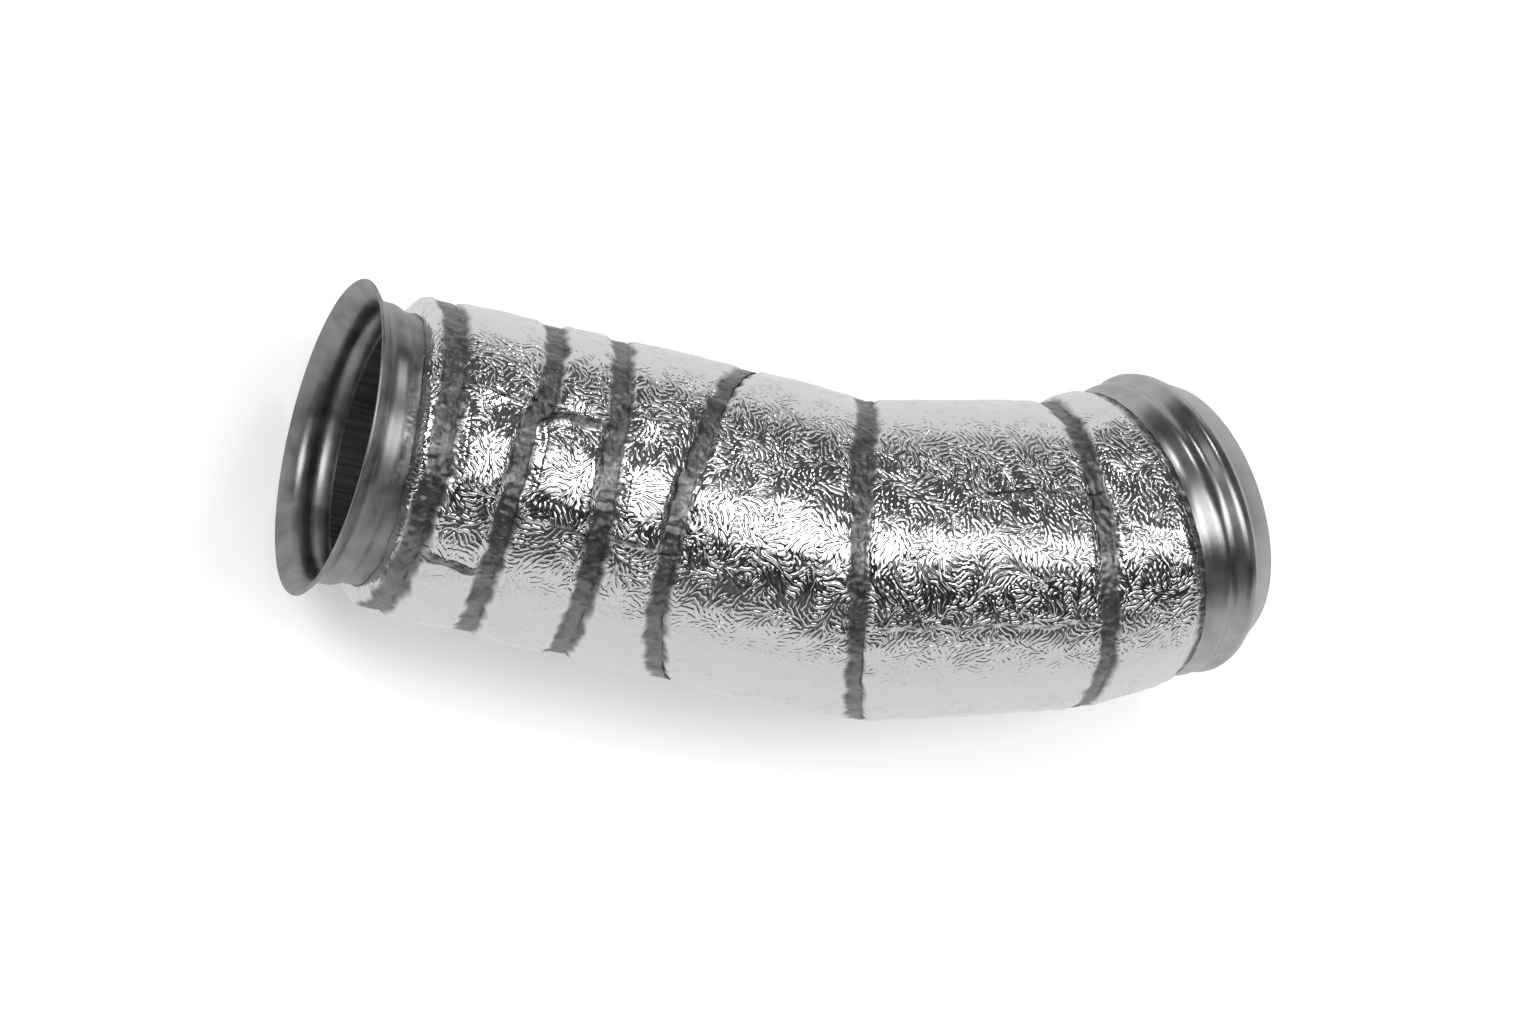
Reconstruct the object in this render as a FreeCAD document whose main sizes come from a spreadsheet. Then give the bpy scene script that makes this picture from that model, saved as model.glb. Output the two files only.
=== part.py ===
# Insulated exhaust pipe: a bent steel tube with a formed flange welded on each end, wrapped in fibre mat
# and closed in sections of thin steel foil whose edges are rolled flat and welded over each other.
# Millimetres. The origin is the middle of the inlet flange's socket, +X runs into the pipe along the inlet
# leg, the tube bends toward +Y, and Z is square to the plane of the bend. Stations along the inlet leg are
# counted from the inlet's lip, and those along the outlet leg from the jacket's second kink.
import enum
import math
import os

import FreeCAD
import Part
import Sketcher

# Driving sizes
sizes = {
    # bent tube, and the turn of the jacket's line at each of its two kinks
    "pipe_od": 127.0,
    "pipe_wall": 1.5,
    "bend_radius": 254.0,
    "kink_turn": 13.8,
    # formed flanges, made from one gauge of sheet: each length and rise is counted from the form before it
    "flange_wall": 1.5,
    "slip_gap": 0.2,
    "socket_middle": 13.2,
    "lip_width": 8.2,
    "flare_length": 7.5,
    "socket_rise": 2.6,
    "socket_length": 10.0,
    "step_length": 4.0,
    "pipe_inset": 1.0,
    "bare_neck": 6.3,
    "covered_neck": 17.2,
    "weld_leg": 3.4,
    "weld_lead": 0.5,
    "skirt_grip": 8.5,
    "cone_length": 6.0,
    "sleeve_rise": 9.8,
    "bare_sleeve": 4.1,
    "bead_half": 7.5,
    "bead_rise": 2.7,
    "dip_pitch": 5.7,
    "dip_rise": 0.9,
    "ring_pitch": 6.8,
    "ring_rise": 4.7,
    "shoulder_pitch": 5.2,
    "shoulder_rise": 3.0,
    "nose_pitch": 1.9,
    "nose_rise": 0.9,
    "rim_length": 14.3,
    "rim_fall": 7.4,
    # how much of the shorter straight beside a corner its bend takes
    "flare_share": 0.265,
    "step_share": 0.25,
    "cone_share": 0.3,
    "bead_share": 0.42,
    # foil jacket
    "foil": 0.5,
    "lap_gap": 0.45,
    "lap": 3.5,
    "valley_half": 4.5,
    "valley_depth": 2.2,
    "valley_rise": 3.0,
    "mat_gap": 1.2,
    "curl_length": 4.0,
    "curl_face": 0.8,
    "curl_drop": 3.0,
    "last_width": 33.9,
    "edge_band": 5.0,
    "edge_gap": 0.5,
    # lengthwise laps: how far one end of a foil strip stands proud where it covers the other
    "flap_proud": 0.9,
    "flap_inset": 1.2,
}

# Seams of the jacket, laid by hand and so not square to the leg: width of the foil before the seam, lean of
# the seam's plane, which way round it leans, and height of the foil over the flanges' skirts
seam_sizes = {
    "collar": (15.2, -2.0, 0.0, 9.4),
    "first": (44.0, -10.5, 25.0, 10.4),
    "second": (43.0, -11.5, 0.0, 11.3),
    "third": (63.0, -29.0, 15.0, 12.6),
    "fourth": (84.5, -25.0, 0.0, 14.2),
    "fifth": (113.0, -9.0, 0.0, 13.1),
}

# Lengthwise laps of the foil strips: first edge and width, in degrees round from +Y toward +Z
flap_sizes = {
    "1": (72.0, 65.0),
    "2": (75.0, 38.0),
    "3": (68.0, 46.0),
    "5": (72.0, 48.0),
}

for seam_name, seam_row in seam_sizes.items():
    for what, value in zip(("width", "lean", "way", "height"), seam_row):
        sizes[f"{seam_name}_{what}"] = value
for flap_name, flap_row in flap_sizes.items():
    for what, value in zip(("from", "width"), flap_row):
        sizes[f"flap{flap_name}_{what}"] = value

doc = FreeCAD.newDocument("insulated_exhaust_pipe")
sheet = doc.addObject("Spreadsheet::Sheet", "Sizes")
for row, (alias, value) in enumerate(sizes.items(), start=1):
    sheet.set(f"A{row}", alias)
    sheet.set(f"B{row}", str(value))
    sheet.setAlias(f"B{row}", alias)
doc.recompute()

# Names for lengths that several pieces share
pipe_radius = "(Sizes.pipe_od / 2)"
skirt_radius = f"({pipe_radius} + Sizes.slip_gap + Sizes.flange_wall)"
socket_radius = f"({skirt_radius} + Sizes.socket_rise)"
sleeve_radius = f"({skirt_radius} + Sizes.sleeve_rise)"
turn_cos = "cos(Sizes.kink_turn * 1deg)"
turn_sin = "sin(Sizes.kink_turn * 1deg)"
turn_tan = "tan(Sizes.kink_turn * 1deg)"

# Stations from the inlet's lip
socket_end = "(Sizes.flare_length + Sizes.socket_length)"
step_end = f"({socket_end} + Sizes.step_length)"
jacket_start = f"({step_end} + Sizes.bare_neck)"
inlet_skirt_end = f"({jacket_start} + Sizes.covered_neck)"
seam_stations = {}
station = jacket_start
for seam_name in seam_sizes:
    station = f"({station} + Sizes.{seam_name}_width)"
    seam_stations[seam_name] = station
leg_in = seam_stations["fourth"]

# Stations from the second kink, where the bend's end places the skirt and the jacket's edge places the beads
bend_end = f"(Sizes.bend_radius * {turn_tan} - Sizes.fifth_width / 2 / {turn_cos})"
outlet_skirt = f"({bend_end} + Sizes.weld_lead + Sizes.weld_leg)"
sleeve_foot = f"({outlet_skirt} + Sizes.skirt_grip)"
bead_foot = "(Sizes.last_width + Sizes.bare_sleeve)"
bead_at = f"({bead_foot} + Sizes.bead_half)"
dip_at = f"({bead_at} + Sizes.dip_pitch)"
ring_at = f"({dip_at} + Sizes.ring_pitch)"
shoulder_at = f"({ring_at} + Sizes.shoulder_pitch)"
nose_at = f"({shoulder_at} + Sizes.nose_pitch)"
rim_at = f"({nose_at} + Sizes.rim_length)"

# Legs of the jacket's line: start and heading
legs = {
    "inlet": ("(-Sizes.socket_middle)", "0", "0"),
    "gore": (f"({leg_in} - Sizes.socket_middle)", "0", "Sizes.kink_turn"),
    "outlet": (
        f"({leg_in} - Sizes.socket_middle + Sizes.fifth_width * {turn_cos})",
        f"(Sizes.fifth_width * {turn_sin})",
        "(2 * Sizes.kink_turn)",
    ),
}


def on_leg(leg, along, turn="0", lean="0", way="0"):
    """Placement, as an expression, of a ring's plane at a distance along a leg."""
    x, y, heading = legs[leg]
    x = f"{x} + ({along}) * cos({heading} * 1deg)"
    y = f"{y} + ({along}) * sin({heading} * 1deg)"
    spin = f"rotation({heading} + {turn}; 90; 0) * rotation({way}; 0; 0) * rotation(0; {lean}; 0)"
    return f"placement(vector({x}; {y}; 0); {spin})"


def add(kind, name, place=None, **expressions):
    """Adds an object and binds its properties to expressions."""
    obj = doc.addObject(kind, name)
    for prop, text in expressions.items():
        obj.setExpression(prop, text)
    if place:
        obj.setExpression("Placement", place)
    return obj


def loft(name, rings):
    obj = doc.addObject("Part::Loft", name)
    obj.Sections = rings
    obj.Solid = True
    obj.Ruled = True
    return obj


def cut(name, base, tool):
    obj = doc.addObject("Part::Cut", name)
    obj.Base = base
    obj.Tool = tool
    obj.Label = name
    return obj


# Seams: the leg and station before and after each, so that a kink falls on its seam
seams = {}
for seam_name, station in seam_stations.items():
    seams[seam_name] = {
        "before": ("inlet", station),
        "after": ("inlet", station),
        "turn": {"before": "0", "after": "0"},
        "lean": f"Sizes.{seam_name}_lean",
        "way": f"Sizes.{seam_name}_way",
        "radius": f"({skirt_radius} + Sizes.{seam_name}_height)",
    }
half_turn = {"before": "Sizes.kink_turn / 2", "after": "-Sizes.kink_turn / 2"}
seams["fourth"].update(after=("gore", "0"), turn=half_turn)
seams["fifth"].update(before=("gore", "Sizes.fifth_width"), after=("outlet", "0"), turn=half_turn)


def oval(place, lean, radius):
    """A plane cut through a round jacket: round seen along the leg, longer the way its plane leans."""
    return add(
        "Part::Ellipse", "ring", place,
        MinorRadius=radius,
        MajorRadius=f"({radius}) / cos(({lean}) * 1deg)",
    )


def seam_ring(seam_name, side, offset, radius):
    seam = seams[seam_name]
    leg, station = seam[side]
    place = on_leg(leg, f"{station} + ({offset})", seam["turn"][side], seam["lean"], seam["way"])
    return oval(place, seam["lean"], radius)


def round_ring(leg, along, radius):
    return oval(on_leg(leg, along), "0", radius)


# Sketches are tied to the sizes by their constraints
Spot = enum.IntEnum("Spot", ["START", "END"])
Axis = enum.IntEnum("Axis", ["X"], start=-1)
same_spot = 1e-4


def measure(text):
    return float(sheet.evalExpression(text))


def tie(sketch, kind, *what, text):
    """Adds a sized constraint and binds it to an expression."""
    size = math.radians(measure(text)) if kind == "Angle" else measure(text)
    name = f"size{sketch.addConstraint(Sketcher.Constraint(kind, *what, size))}"
    sketch.renameConstraint(sketch.ConstraintCount - 1, name)
    sketch.setExpression(f"Constraints.{name}", text)


def tie_point(sketch, item, spot, along, radius):
    tie(sketch, "DistanceX", Axis.X, Spot.START, item, spot, text=along)
    tie(sketch, "DistanceY", Axis.X, Spot.START, item, spot, text=radius)


# Bent tube
spine = doc.addObject("Sketcher::SketchObject", "spine")
pipe_start = f"({step_end} + Sizes.pipe_inset - Sizes.socket_middle)"
bend_start = f"({leg_in} - Sizes.socket_middle - {bend_end})"
tail_length = f"({sleeve_foot} - {bend_end})"
centre = FreeCAD.Vector(measure(bend_start), measure("Sizes.bend_radius"))
bend_in = FreeCAD.Vector(centre.x)
turn = FreeCAD.Rotation(measure("Sizes.kink_turn"), 0, 0)
bend_middle = centre + turn.multVec(bend_in - centre)
bend_out = centre + turn.multVec(bend_middle - centre)
tail = bend_out + turn.multVec(turn.multVec(FreeCAD.Vector(measure(tail_length))))
line_in = spine.addGeometry(Part.LineSegment(FreeCAD.Vector(measure(pipe_start)), bend_in))
arc = spine.addGeometry(Part.Arc(bend_in, bend_middle, bend_out))
line_out = spine.addGeometry(Part.LineSegment(bend_out, tail))
for spot in Spot:
    spine.addConstraint(Sketcher.Constraint("PointOnObject", line_in, spot, Axis.X))
spine.addConstraint(Sketcher.Constraint("Tangent", line_in, Spot.END, arc, Spot.START))
spine.addConstraint(Sketcher.Constraint("Tangent", arc, Spot.END, line_out, Spot.START))
tie(spine, "DistanceX", Axis.X, Spot.START, line_in, Spot.START, text=pipe_start)
tie(spine, "DistanceX", Axis.X, Spot.START, line_in, Spot.END, text=bend_start)
tie(spine, "Radius", arc, text="Sizes.bend_radius")
tie(spine, "Distance", line_out, text=tail_length)
tie(spine, "Angle", line_out, text="2 * Sizes.kink_turn * 1deg")
doc.recompute()


def sweep(name, radius):
    """A round bar along the tube's centre line."""
    place = on_leg("inlet", f"{step_end} + Sizes.pipe_inset")
    section = add("Part::Circle", f"{name}_section", place, Radius=radius)
    bar = doc.addObject("Part::Sweep", name)
    bar.Sections = [section]
    bar.Spine = (spine, [f"Edge{n}" for n, _ in enumerate(spine.Shape.Edges, start=1)])
    bar.Solid = True
    return bar


inner_pipe = cut(
    "inner_pipe",
    sweep("pipe_outside", pipe_radius),
    sweep("pipe_bore", f"{pipe_radius} - Sizes.pipe_wall"),
)


# Formed flanges: a turned solid, its corners bent round, then hollowed to the sheet's gauge
def flange_place(leg):
    x, y, heading = legs[leg]
    return f"placement(vector({x}; {y}; 0); rotation({heading}; 0; 0))"


def bend_points(before, corner, after, reach):
    """Where a bend starts, its middle, and where it ends, each end as far from the corner."""
    back = (before - corner).normalize()
    ahead = (after - corner).normalize()
    half = back.getAngle(ahead) / 2
    inward = (back + ahead).normalize() * (reach / math.cos(half) - reach * math.tan(half))
    return corner + back * reach, corner + inward, corner + ahead * reach


def straight(first, second):
    """Length, as an expression, of the straight between two corners."""
    return f"sqrt((({second[0]}) - ({first[0]}))^2 + (({second[1]}) - ({first[1]}))^2)"


def formed_flange(label, profile, place):
    """Turns a profile of (station, radius, share bent) corners and hollows it, open at both ends."""
    body = doc.addObject("PartDesign::Body", label)
    body.Label = label
    sketch = body.newObject("Sketcher::SketchObject", f"{label}_profile")
    plane = [o for o in body.Origin.OriginFeatures if o.Role == "XY_Plane"][0]
    sketch.AttachmentSupport = (plane, [""])
    sketch.MapMode = "FlatFace"
    corners = [(profile[0][0], "0", None), *profile, (profile[-1][0], "0", None)]
    points = [FreeCAD.Vector(measure(along), measure(radius)) for along, radius, _ in corners]
    reaches = [
        share and f"{share} * min({straight(before, corner)}; {straight(corner, after)})"
        for before, corner, after, share in (
            (corners[n - 1], corners[n], corners[(n + 1) % len(corners)], corners[n][2])
            for n in range(len(corners))
        )
    ]
    spans = []
    for reach, before, corner, after in zip(
        reaches, points[-1:] + points[:-1], points, points[1:] + points[:1]
    ):
        spans.append(bend_points(before, corner, after, measure(reach)) if reach else [corner] * 3)
    lines = [
        sketch.addGeometry(Part.LineSegment(here[-1], there[0]))
        for here, there in zip(spans, spans[1:] + spans[:1])
    ]
    for number, (along, radius, _) in enumerate(corners):
        coming, going = lines[number - 1], lines[number]
        if not reaches[number]:
            sketch.addConstraint(Sketcher.Constraint("Coincident", coming, Spot.END, going, Spot.START))
            tie_point(sketch, going, Spot.START, along, radius)
            continue
        bow = sketch.addGeometry(Part.Arc(*spans[number]))
        in_order = sketch.getPoint(bow, Spot.START).isEqual(spans[number][0], same_spot)
        first, last = Spot if in_order else reversed(Spot)
        sketch.addConstraint(Sketcher.Constraint("Tangent", coming, Spot.END, bow, first))
        sketch.addConstraint(Sketcher.Constraint("Tangent", bow, last, going, Spot.START))
        tip = sketch.addGeometry(Part.Point(points[number]), True)
        for line in (coming, going):
            sketch.addConstraint(Sketcher.Constraint("PointOnObject", tip, Spot.START, line))
        tie_point(sketch, tip, Spot.START, along, radius)
        tie(sketch, "Distance", tip, Spot.START, bow, first, text=reaches[number])
    doc.recompute()
    turned = body.newObject("PartDesign::Revolution", f"{label}_turned")
    turned.Profile = sketch
    turned.ReferenceAxis = (sketch, ["H_Axis"])
    doc.recompute()
    ends = [
        f"Face{number}"
        for number, face in enumerate(turned.Shape.Faces, start=1)
        if isinstance(face.Surface, Part.Plane)
    ]
    shell = body.newObject("PartDesign::Thickness", f"{label}_sheet")
    shell.Base = (turned, ends)
    shell.Reversed = True
    shell.setExpression("Value", "Sizes.flange_wall")
    body.Tip = shell
    body.setExpression("Placement", place)
    doc.recompute()
    return body


inlet_flange = formed_flange(
    "inlet_flange",
    [
        ("0", f"{socket_radius} + Sizes.lip_width", None),
        ("Sizes.flare_length", socket_radius, "Sizes.flare_share"),
        (socket_end, socket_radius, "Sizes.step_share"),
        (step_end, skirt_radius, "Sizes.step_share"),
        (inlet_skirt_end, skirt_radius, None),
    ],
    flange_place("inlet"),
)

outlet_flange = formed_flange(
    "outlet_flange",
    [
        (outlet_skirt, skirt_radius, None),
        (sleeve_foot, skirt_radius, "Sizes.cone_share"),
        (f"{sleeve_foot} + Sizes.cone_length", sleeve_radius, "Sizes.cone_share"),
        (bead_foot, sleeve_radius, "Sizes.cone_share"),
        (bead_at, f"{sleeve_radius} + Sizes.bead_rise", "Sizes.bead_share"),
        (dip_at, f"{sleeve_radius} + Sizes.dip_rise", "Sizes.bead_share"),
        (ring_at, f"{sleeve_radius} + Sizes.ring_rise", "Sizes.bead_share"),
        (shoulder_at, f"{sleeve_radius} + Sizes.shoulder_rise", "Sizes.bead_share"),
        (nose_at, f"{sleeve_radius} + Sizes.nose_rise", "Sizes.bead_share"),
        (rim_at, f"{sleeve_radius} - Sizes.rim_fall", None),
    ],
    flange_place("outlet"),
)


# Welds: a ring of filler between the end of each flange's skirt and the tube
def weld(label, leg, along, wide_end, narrow_end):
    place = on_leg(leg, along)
    bead = add(
        "Part::Cone", f"{label}_bead", place,
        Radius1=wide_end, Radius2=narrow_end, Height="Sizes.weld_leg",
    )
    bore = add(
        "Part::Cylinder", f"{label}_bore", place,
        Radius=f"{pipe_radius} + Sizes.slip_gap / 2", Height="Sizes.weld_leg",
    )
    return cut(label, bead, bore)


weld_toe = f"{pipe_radius} + Sizes.slip_gap * 2"
inlet_weld = weld("inlet_weld", "inlet", inlet_skirt_end, skirt_radius, weld_toe)
outlet_weld = weld("outlet_weld", "outlet", f"{outlet_skirt} - Sizes.weld_leg", weld_toe, skirt_radius)


# Foil sections: rolled flat at each end, where one section's edge lies over the next one's
def left_rings(seam_name, shrink, overrun):
    """Rings from the edge tucked under the neighbour up to the full radius."""
    crest = f"{seams[seam_name]['radius']} - {shrink}"
    floor = f"{crest} - Sizes.valley_depth"
    return [
        seam_ring(seam_name, "before", f"-Sizes.lap - {overrun}", floor),
        seam_ring(seam_name, "after", "Sizes.valley_half", floor),
        seam_ring(seam_name, "after", "Sizes.valley_half + Sizes.valley_rise", crest),
    ]


def right_rings(seam_name, shrink, overrun):
    """Rings from the full radius down to the edge that lies over the neighbour."""
    crest = f"{seams[seam_name]['radius']} - {shrink}"
    floor = f"{crest} - Sizes.valley_depth + Sizes.foil + Sizes.lap_gap"
    return [
        seam_ring(seam_name, "before", "-Sizes.valley_half - Sizes.valley_rise", crest),
        seam_ring(seam_name, "before", "-Sizes.valley_half", floor),
        seam_ring(seam_name, "after", f"Sizes.lap + {overrun}", floor),
    ]


def collar_rings(shrink, overrun):
    """The first edge, curled in over the inlet flange's neck."""
    crest = f"{seams['collar']['radius']} - {shrink}"
    mouth = f"{skirt_radius} + Sizes.lap_gap + Sizes.foil - {shrink}"
    rings = [round_ring("inlet", f"{jacket_start} - {overrun}", mouth)]
    if overrun != "0":
        rings.append(round_ring("inlet", f"{jacket_start} + {shrink}", mouth))
    shoulder = f"{crest} - Sizes.curl_drop"
    rings.append(round_ring("inlet", f"{jacket_start} + Sizes.curl_face + {shrink}", shoulder))
    rings.append(round_ring("inlet", f"{jacket_start} + Sizes.curl_length + {shrink}", crest))
    return rings


def edge_rings(shrink, overrun):
    """The last edge, rolled down onto the outlet flange's sleeve."""
    band = f"{sleeve_radius} + Sizes.edge_gap + Sizes.foil - {shrink}"
    return [
        round_ring("outlet", "Sizes.last_width - Sizes.edge_band", band),
        round_ring("outlet", f"Sizes.last_width + {overrun}", band),
    ]


def flap(number, left, right):
    """The end of the strip, lying proud over its own start."""
    proud = "Sizes.flap_proud"
    inset = "Sizes.valley_half + Sizes.valley_rise + Sizes.flap_inset"
    raised = loft(
        f"flap{number}_raised",
        [
            seam_ring(left, "after", inset, f"{seams[left]['radius']} + {proud}"),
            seam_ring(right, "before", f"-({inset})", f"{seams[right]['radius']} + {proud}"),
        ],
    )
    leg, _ = seams[left]["after"]
    x, y, heading = legs[leg]
    reach = "2 * Sizes.pipe_od"
    x = f"{x} - Sizes.pipe_od * cos({heading} * 1deg)"
    y = f"{y} - Sizes.pipe_od * sin({heading} * 1deg)"
    spin = f"rotation({heading}; 90; 0) * rotation(90 + Sizes.flap{number}_from; 0; 0)"
    wedge = add(
        "Part::Cylinder", f"flap{number}_wedge", f"placement(vector({x}; {y}; 0); {spin})",
        Radius=reach, Height=f"{leg_in} + {reach}", Angle=f"Sizes.flap{number}_width * 1deg",
    )
    part = doc.addObject("Part::Common", f"flap{number}")
    part.Base = raised
    part.Tool = wedge
    return part


def foil_section(label, rings_for, flap_part=None):
    outside = loft(f"{label}_outside", rings_for("0", "0"))
    if flap_part:
        joined = doc.addObject("Part::Fuse", f"{label}_joined")
        joined.Base = outside
        joined.Tool = flap_part
        outside = joined
    inside = loft(f"{label}_inside", rings_for("Sizes.foil", "Sizes.lap"))
    return cut(label, outside, inside)


order = ["collar", "first", "second", "third", "fourth", "fifth"]
foils = [foil_section("foil_collar", lambda s, o: collar_rings(s, o) + right_rings("collar", s, o))]
for number, (left, right) in enumerate(zip(order, order[1:]), start=1):
    flap_part = flap(number, left, right) if str(number) in flap_sizes else None
    foils.append(
        foil_section(
            f"foil_{number}",
            lambda s, o, a=left, b=right: left_rings(a, s, o) + right_rings(b, s, o),
            flap_part,
        )
    )
foils.append(
    foil_section(f"foil_{len(order)}", lambda s, o: left_rings("fifth", s, o) + edge_rings(s, o))
)

# Fibre mat between the tube and the foil, cut clear of the tube, the flanges and their welds
tube_room = sweep("tube_room", f"{pipe_radius} + Sizes.slip_gap")


def mat_room(name, leg, clearings):
    """Room for the tube and for each (station, length, radius) along a leg."""
    room = doc.addObject("Part::MultiFuse", name)
    room.Shapes = [
        tube_room,
        *(
            add("Part::Cylinder", f"{name}_part", on_leg(leg, along), Radius=radius, Height=length)
            for along, length, radius in clearings
        ),
    ]
    return room


weld_room = "(Sizes.weld_leg + Sizes.mat_gap)"
skirt_room = f"{skirt_radius} + Sizes.slip_gap"
leg_room = mat_room("leg_room", "inlet", [("0", f"{inlet_skirt_end} + {weld_room}", skirt_room)])
bend_room = mat_room(
    "bend_room", "outlet",
    [
        (f"{outlet_skirt} - {weld_room}", f"{weld_room} + Sizes.skirt_grip", skirt_room),
        (f"{sleeve_foot} - Sizes.mat_gap", "Sizes.last_width", f"{sleeve_radius} + Sizes.mat_gap"),
    ],
)
below_foil = "(Sizes.valley_depth + Sizes.foil + Sizes.mat_gap)"
mat_start = f"{jacket_start} + Sizes.curl_length + Sizes.foil + Sizes.mat_gap"


def mat_ring(seam_name, side, offset):
    return seam_ring(seam_name, side, offset, f"{seams[seam_name]['radius']} - {below_foil}")


mats = [
    cut(
        "mat_leg",
        loft(
            "mat_leg_outside",
            [
                round_ring("inlet", mat_start, f"{seams['collar']['radius']} - {below_foil}"),
                *(mat_ring(name, "before", "0") for name in ("first", "second", "third")),
                mat_ring("fourth", "before", "-Sizes.lap_gap"),
            ],
        ),
        leg_room,
    ),
    cut(
        "mat_bend",
        loft(
            "mat_bend_outside",
            [mat_ring("fourth", "after", "Sizes.lap_gap"), mat_ring("fifth", "before", "-Sizes.lap_gap")],
        ),
        bend_room,
    ),
]

# Every object has to be sound before a file is written
doc.recompute()
pieces = [inner_pipe, inlet_flange, outlet_flange, inlet_weld, outlet_weld, *foils, *mats]
for obj in doc.Objects:
    if "Invalid" in obj.State or "Error" in obj.State:
        raise RuntimeError(f"{obj.Name} did not compute")
os.makedirs("parts", exist_ok=True)
for piece in pieces:
    if piece.Shape.isNull() or not piece.Shape.isValid():
        raise RuntimeError(f"{piece.Label} has no sound shape")
    piece.Shape.exportStep(f"parts/{piece.Label}.step")
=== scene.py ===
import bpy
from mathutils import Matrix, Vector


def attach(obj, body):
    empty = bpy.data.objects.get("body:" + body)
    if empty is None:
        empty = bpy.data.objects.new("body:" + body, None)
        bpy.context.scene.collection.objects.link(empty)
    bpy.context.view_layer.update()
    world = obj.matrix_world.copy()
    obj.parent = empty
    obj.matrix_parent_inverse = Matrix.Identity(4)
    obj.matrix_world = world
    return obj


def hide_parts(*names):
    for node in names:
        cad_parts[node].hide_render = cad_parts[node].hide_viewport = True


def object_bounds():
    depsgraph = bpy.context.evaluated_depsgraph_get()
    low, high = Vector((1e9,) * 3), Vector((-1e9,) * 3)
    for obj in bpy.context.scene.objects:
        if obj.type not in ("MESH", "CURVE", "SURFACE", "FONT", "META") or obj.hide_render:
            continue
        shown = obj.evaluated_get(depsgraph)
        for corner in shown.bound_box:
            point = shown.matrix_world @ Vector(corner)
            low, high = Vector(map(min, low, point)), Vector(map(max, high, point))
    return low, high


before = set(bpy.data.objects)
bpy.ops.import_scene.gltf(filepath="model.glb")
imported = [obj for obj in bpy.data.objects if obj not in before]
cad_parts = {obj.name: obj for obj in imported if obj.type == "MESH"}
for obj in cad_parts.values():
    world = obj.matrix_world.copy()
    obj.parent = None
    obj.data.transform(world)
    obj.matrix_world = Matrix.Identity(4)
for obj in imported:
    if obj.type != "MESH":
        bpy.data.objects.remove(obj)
cadBox = [list(corner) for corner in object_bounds()]

import math

import bpy
from mathutils import Matrix, Vector, noise

mm = 0.001


def hexColour(text):
    parts = [int(text[i:i + 2], 16) / 255 for i in (1, 3, 5)]
    return [p / 12.92 if p <= 0.04045 else ((p + 0.055) / 1.055) ** 2.4 for p in parts] + [1.0]


def addNode(tree, kind, inputs=(), **settings):
    item = tree.nodes.new(kind)
    for name, value in settings.items():
        setattr(item, name, value)
    for name, value in dict(inputs).items():
        if isinstance(value, bpy.types.NodeSocket):
            tree.links.new(value, item.inputs[name])
        else:
            item.inputs[name].default_value = value
    return item


def newMaterial(name):
    material = bpy.data.materials.new(name)
    material.use_nodes = True
    tree = material.node_tree
    tree.nodes.clear()
    return material, tree


def calculate(tree, operation, *values, **settings):
    return addNode(tree, "ShaderNodeMath", enumerate(values), operation=operation, **settings).outputs[0]


def noiseOver(tree, coords, size, detail, roughness=0.5):
    inputs = {"Vector": coords, "Scale": 1 / (size * mm), "Detail": detail, "Roughness": roughness}
    return addNode(tree, "ShaderNodeTexNoise", inputs).outputs["Fac"]


def remap(tree, value, low, high, toLow=0.0, toHigh=1.0, curve="LINEAR"):
    inputs = {"Value": value, "From Min": low, "From Max": high, "To Min": toLow, "To Max": toHigh}
    return addNode(tree, "ShaderNodeMapRange", inputs, interpolation_type=curve).outputs["Result"]


def blend(tree, factor, a, b):
    inputs = {"Factor": factor, "A": a, "B": b}
    return addNode(tree, "ShaderNodeMix", inputs, data_type="RGBA").outputs["Result"]


def bumpOf(tree, height, distance, strength=1.0, normal=None):
    inputs = {"Strength": strength, "Distance": distance * mm, "Height": height}
    if normal is not None:
        inputs["Normal"] = normal
    return addNode(tree, "ShaderNodeBump", inputs).outputs["Normal"]


def surfaceOf(tree, colour, metal, rough, normal):
    inputs = {"Base Color": colour, "Metallic": metal, "Roughness": rough, "Normal": normal}
    shader = addNode(tree, "ShaderNodeBsdfPrincipled", inputs)
    addNode(tree, "ShaderNodeOutputMaterial", {"Surface": shader.outputs[0]})


def smooth(low, high, value):
    t = min(max((value - low) / (high - low), 0.0), 1.0)
    return t * t * (3 - 2 * t)


def mix(a, b, t):
    return a + (b - a) * t


def deselectAll():
    if bpy.context.object and bpy.context.object.mode != "OBJECT":
        bpy.ops.object.mode_set(mode="OBJECT")
    bpy.ops.object.select_all(action="DESELECT")


def finishPiece(piece, material, slot, *nodes):
    piece.data.materials.clear()
    piece.data.materials.append(material)
    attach(piece, "root")
    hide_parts(*nodes)


# Line of the jacket: inlet leg, gore and outlet leg, each with its start and heading
kinkTurn = math.radians(13.8)
socketMiddle = 13.2
kinkOne = 277.5 - socketMiddle
goreLength = 113.0
legs = {
    "inlet": (Vector((-socketMiddle, 0, 0)), 0.0),
    "gore": (Vector((kinkOne, 0, 0)), kinkTurn),
    "outlet": (
        Vector((kinkOne + goreLength * math.cos(kinkTurn), goreLength * math.sin(kinkTurn), 0)),
        2 * kinkTurn,
    ),
}


def onLeg(leg, along, radius, angle):
    start, heading = legs[leg]
    point = Vector((along, radius * math.cos(angle), radius * math.sin(angle)))
    return (start + Matrix.Rotation(heading, 3, "Z") @ point) * mm


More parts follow.
